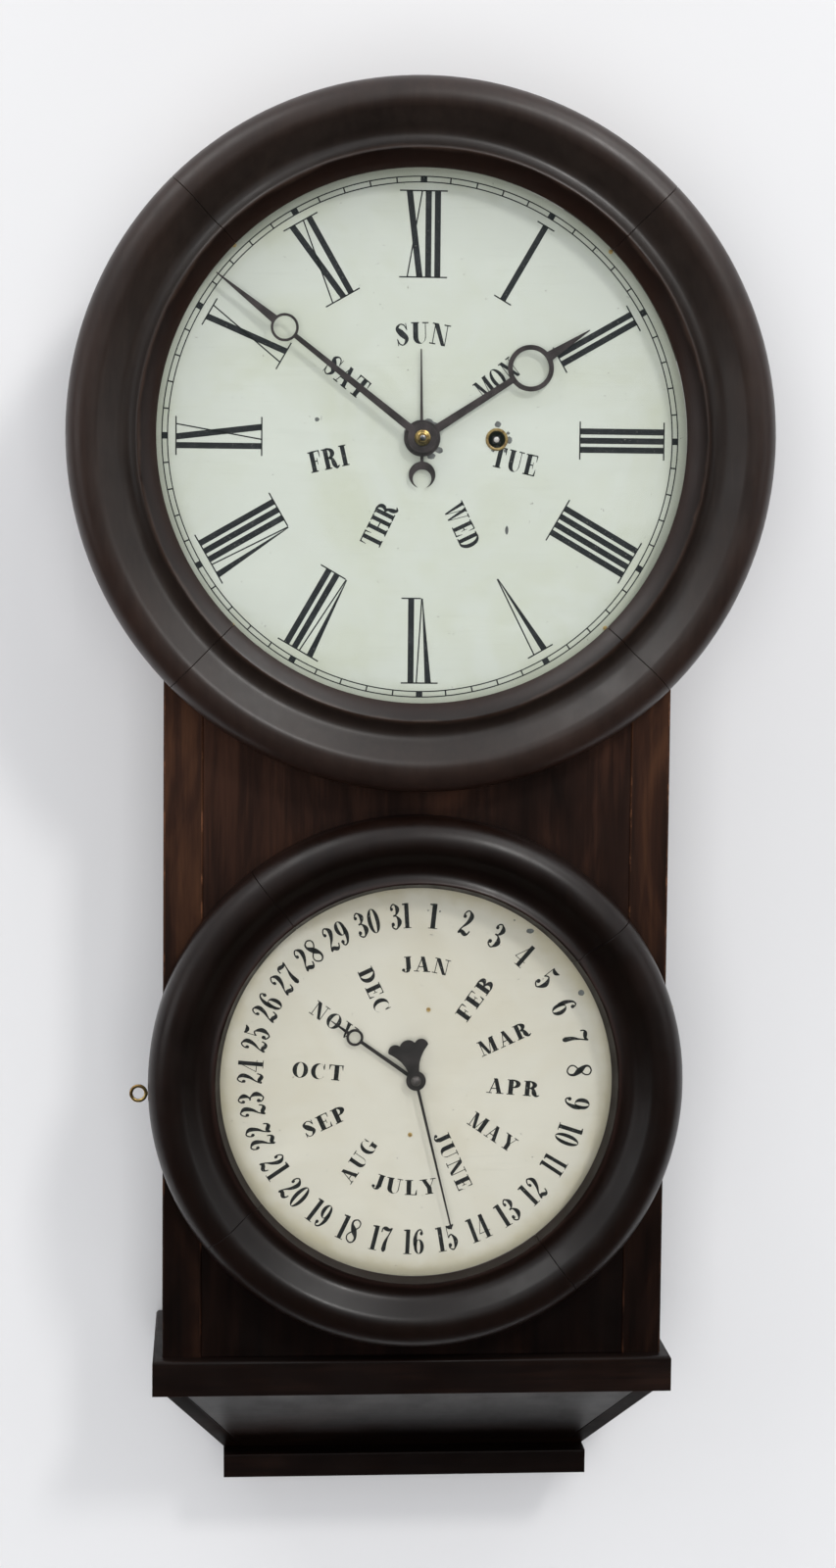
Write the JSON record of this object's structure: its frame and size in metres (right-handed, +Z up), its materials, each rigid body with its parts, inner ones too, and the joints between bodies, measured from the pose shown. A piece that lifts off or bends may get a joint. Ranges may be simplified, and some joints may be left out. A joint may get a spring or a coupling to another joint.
{
  "type": "wall calendar clock",
  "caption": "Hanging wall clock with a round clock dial over a round calendar dial, each behind a hinged turned wooden bezel, with a pendulum movement and a linked calendar train",
  "frame": {"origin": "centre of the hanging hole, on the wall plane at the back of the hanger plate", "axes": "+Z up, front toward -Y, +X to the viewer's right"},
  "size_m": [0.4062, 0.1365, 0.8333],
  "materials": {
    "wood_trunk": "dark red-brown polish",
    "wood_dark": "near-black brown polish",
    "wood_base": "near-black polish, worn at the edges",
    "wood_raw": "unfinished softwood",
    "brass": "aged brass",
    "steel": "plain steel",
    "blued_steel": "dark blued steel",
    "clock_dial_paint": "aged off-white paint",
    "calendar_dial_paint": "aged cream paint",
    "glass": "clear pane"
  },
  "bodies": {
    "case": {"back_board": "wood_raw", "side_boards": "wood_trunk", "top_board": "wood_raw", "front_panel": "wood_trunk", "ledge": "wood_base", "base_side_slopes": "wood_base", "base_front_slope": "wood_base", "base_block": "wood_raw", "plinth": "wood_base", "hanger_plate": "brass", "case_screws": "steel", "clock_dial": "clock_dial_paint", "dial_pins": "brass", "winding_grommet": "brass", "calendar_dial": "calendar_dial_paint", "hinge_case_leaves": "brass", "hinge_pins": "steel", "movement_blocks": "wood_raw", "movement_back_plate": "brass", "movement_front_plate": "brass", "movement_pillars": "steel", "mainspring": "steel", "suspension_cock": "brass", "calendar_plate": "brass", "calendar_bridge": "brass"},
    "clock_door": {"clock_bezel": "wood_dark", "clock_glass": "glass", "clock_glass_bead": "steel", "clock_hinge_leaves": "brass"},
    "calendar_door": {"calendar_bezel": "wood_dark", "calendar_glass": "glass", "calendar_glass_bead": "steel", "calendar_hinge_leaves": "brass", "brass_loop": "brass"},
    "minute_hand_arbor": {"centre_wheel": "brass", "minute_hand": "blued_steel", "hand_nut": "brass"},
    "hour_hand_pipe": {"hour_wheel": "brass", "hour_hand": "blued_steel"},
    "minute_wheel_group": {"minute_wheel": "brass"},
    "great_wheel_group": {"great_wheel": "brass", "click": "steel"},
    "winding_arbor_group": {"winding_arbor": "steel"},
    "third_wheel_group": {"third_wheel": "brass"},
    "escape_wheel_group": {"escape_wheel": "brass"},
    "verge_group": {"verge": "steel"},
    "pendulum": {"pendulum_rod": "steel"},
    "bob": {"pendulum_bob": "brass"},
    "rating_nut_group": {"rating_nut": "brass"},
    "weekday_pipe": {"weekday_wheel": "brass", "weekday_hand": "blued_steel"},
    "day_wheel_group": {"day_wheel": "brass"},
    "trip_lever_group": {"trip_lever": "steel"},
    "connecting_rod_group": {"connecting_rod": "steel"},
    "date_lever_group": {"date_lever": "steel"},
    "date_arbor": {"date_wheel": "brass", "date_hand": "blued_steel"},
    "month_pipe": {"month_wheel": "brass", "month_hand": "blued_steel"},
    "reduction_wheel_group": {"reduction_wheel": "brass"}
  },
  "joints": [
    {"name": "clock_door_hinge", "type": "hinge", "parent": "case", "child": "clock_door", "pos_m": [0.1504, -0.1024, -0.16], "axis": [0, 0, 1], "range_deg": [0, 94]},
    {"name": "calendar_door_hinge", "type": "hinge", "parent": "case", "child": "calendar_door", "pos_m": [0.1504, -0.1024, -0.5338], "axis": [0, 0, 1], "range_deg": [0, 120]},
    {"name": "minute_hand_turn", "type": "hinge", "parent": "case", "child": "minute_hand_arbor", "pos_m": [0, -0.1, -0.16], "axis": [0, 1, 0], "continuous": true},
    {"name": "hour_hand_turn", "type": "hinge", "parent": "case", "child": "hour_hand_pipe", "pos_m": [0, -0.1, -0.16], "axis": [0, 1, 0], "continuous": true},
    {"name": "minute_wheel_turn", "type": "hinge", "parent": "case", "child": "minute_wheel_group", "pos_m": [-0.01691, -0.082, -0.15384], "axis": [0, 1, 0], "continuous": true},
    {"name": "great_wheel_turn", "type": "hinge", "parent": "case", "child": "great_wheel_group", "pos_m": [0.0436, -0.045, -0.16], "axis": [0, 1, 0], "continuous": true},
    {"name": "winding_turn", "type": "hinge", "parent": "case", "child": "winding_arbor_group", "pos_m": [0.0436, -0.07, -0.16], "axis": [0, 1, 0], "continuous": true},
    {"name": "third_wheel_turn", "type": "hinge", "parent": "case", "child": "third_wheel_group", "pos_m": [-0.01514, -0.057, -0.13837], "axis": [0, 1, 0], "continuous": true},
    {"name": "escape_wheel_turn", "type": "hinge", "parent": "case", "child": "escape_wheel_group", "pos_m": [0, -0.057, -0.1274], "axis": [0, 1, 0], "continuous": true},
    {"name": "verge_rock", "type": "hinge", "parent": "case", "child": "verge_group", "pos_m": [0, -0.057, -0.108], "axis": [0, 1, 0], "range_deg": [-4.5, 4.5]},
    {"name": "pendulum_swing", "type": "hinge", "parent": "case", "child": "pendulum", "pos_m": [0, -0.023, -0.108], "axis": [0, 1, 0], "range_deg": [-4.5, 4.5]},
    {"name": "bob_slide", "type": "slide", "parent": "pendulum", "child": "bob", "axis": [0, 0, 1], "range_m": [-0.006, 0.006]},
    {"name": "rating_nut_turn", "type": "hinge", "parent": "bob", "child": "rating_nut_group", "pos_m": [0, -0.023, -0.495], "axis": [0, 0, 1], "range_deg": [-3600, 3600]},
    {"name": "weekday_turn", "type": "hinge", "parent": "case", "child": "weekday_pipe", "pos_m": [0, -0.1, -0.16], "axis": [0, 1, 0], "continuous": true},
    {"name": "day_wheel_turn", "type": "hinge", "parent": "case", "child": "day_wheel_group", "pos_m": [0, -0.085, -0.1852], "axis": [0, 1, 0], "continuous": true},
    {"name": "trip_lever_rock", "type": "hinge", "parent": "case", "child": "trip_lever_group", "pos_m": [-0.022, -0.08, -0.196], "axis": [0, 1, 0], "range_deg": [0, 8]},
    {"name": "connecting_rod_link", "type": "hinge", "parent": "trip_lever_group", "child": "connecting_rod_group", "pos_m": [-0.042, -0.082, -0.196], "axis": [0, 1, 0], "range_deg": [-8, 0]},
    {"name": "date_lever_rock", "type": "hinge", "parent": "case", "child": "date_lever_group", "pos_m": [-0.022, -0.08, -0.4778], "axis": [0, 1, 0], "range_deg": [0, 8]},
    {"name": "date_hand_turn", "type": "hinge", "parent": "case", "child": "date_arbor", "pos_m": [0, -0.1, -0.5338], "axis": [0, 1, 0], "continuous": true},
    {"name": "month_hand_turn", "type": "hinge", "parent": "case", "child": "month_pipe", "pos_m": [0, -0.1, -0.5338], "axis": [0, 1, 0], "continuous": true},
    {"name": "reduction_wheel_turn", "type": "hinge", "parent": "case", "child": "reduction_wheel_group", "pos_m": [0, -0.082, -0.5548], "axis": [0, 1, 0], "continuous": true}
  ],
  "couplings": [
    {"joint": "hour_hand_turn", "follows": "minute_hand_turn", "ratio": 0.083333},
    {"joint": "minute_wheel_turn", "follows": "minute_hand_turn", "ratio": -0.33333},
    {"joint": "great_wheel_turn", "follows": "minute_hand_turn", "ratio": -0.083333},
    {"joint": "third_wheel_turn", "follows": "minute_hand_turn", "ratio": -10},
    {"joint": "escape_wheel_turn", "follows": "minute_hand_turn", "ratio": 75},
    {"joint": "day_wheel_turn", "follows": "minute_hand_turn", "ratio": -0.041667},
    {"joint": "verge_rock", "follows": "pendulum_swing", "ratio": 1},
    {"joint": "rating_nut_turn", "follows": "bob_slide", "rad_per_m": 10472},
    {"joint": "connecting_rod_link", "follows": "trip_lever_rock", "ratio": -1},
    {"joint": "date_lever_rock", "follows": "trip_lever_rock", "ratio": 1},
    {"joint": "month_hand_turn", "follows": "date_hand_turn", "ratio": 0.083333},
    {"joint": "reduction_wheel_turn", "follows": "date_hand_turn", "ratio": -0.25}
  ]
}
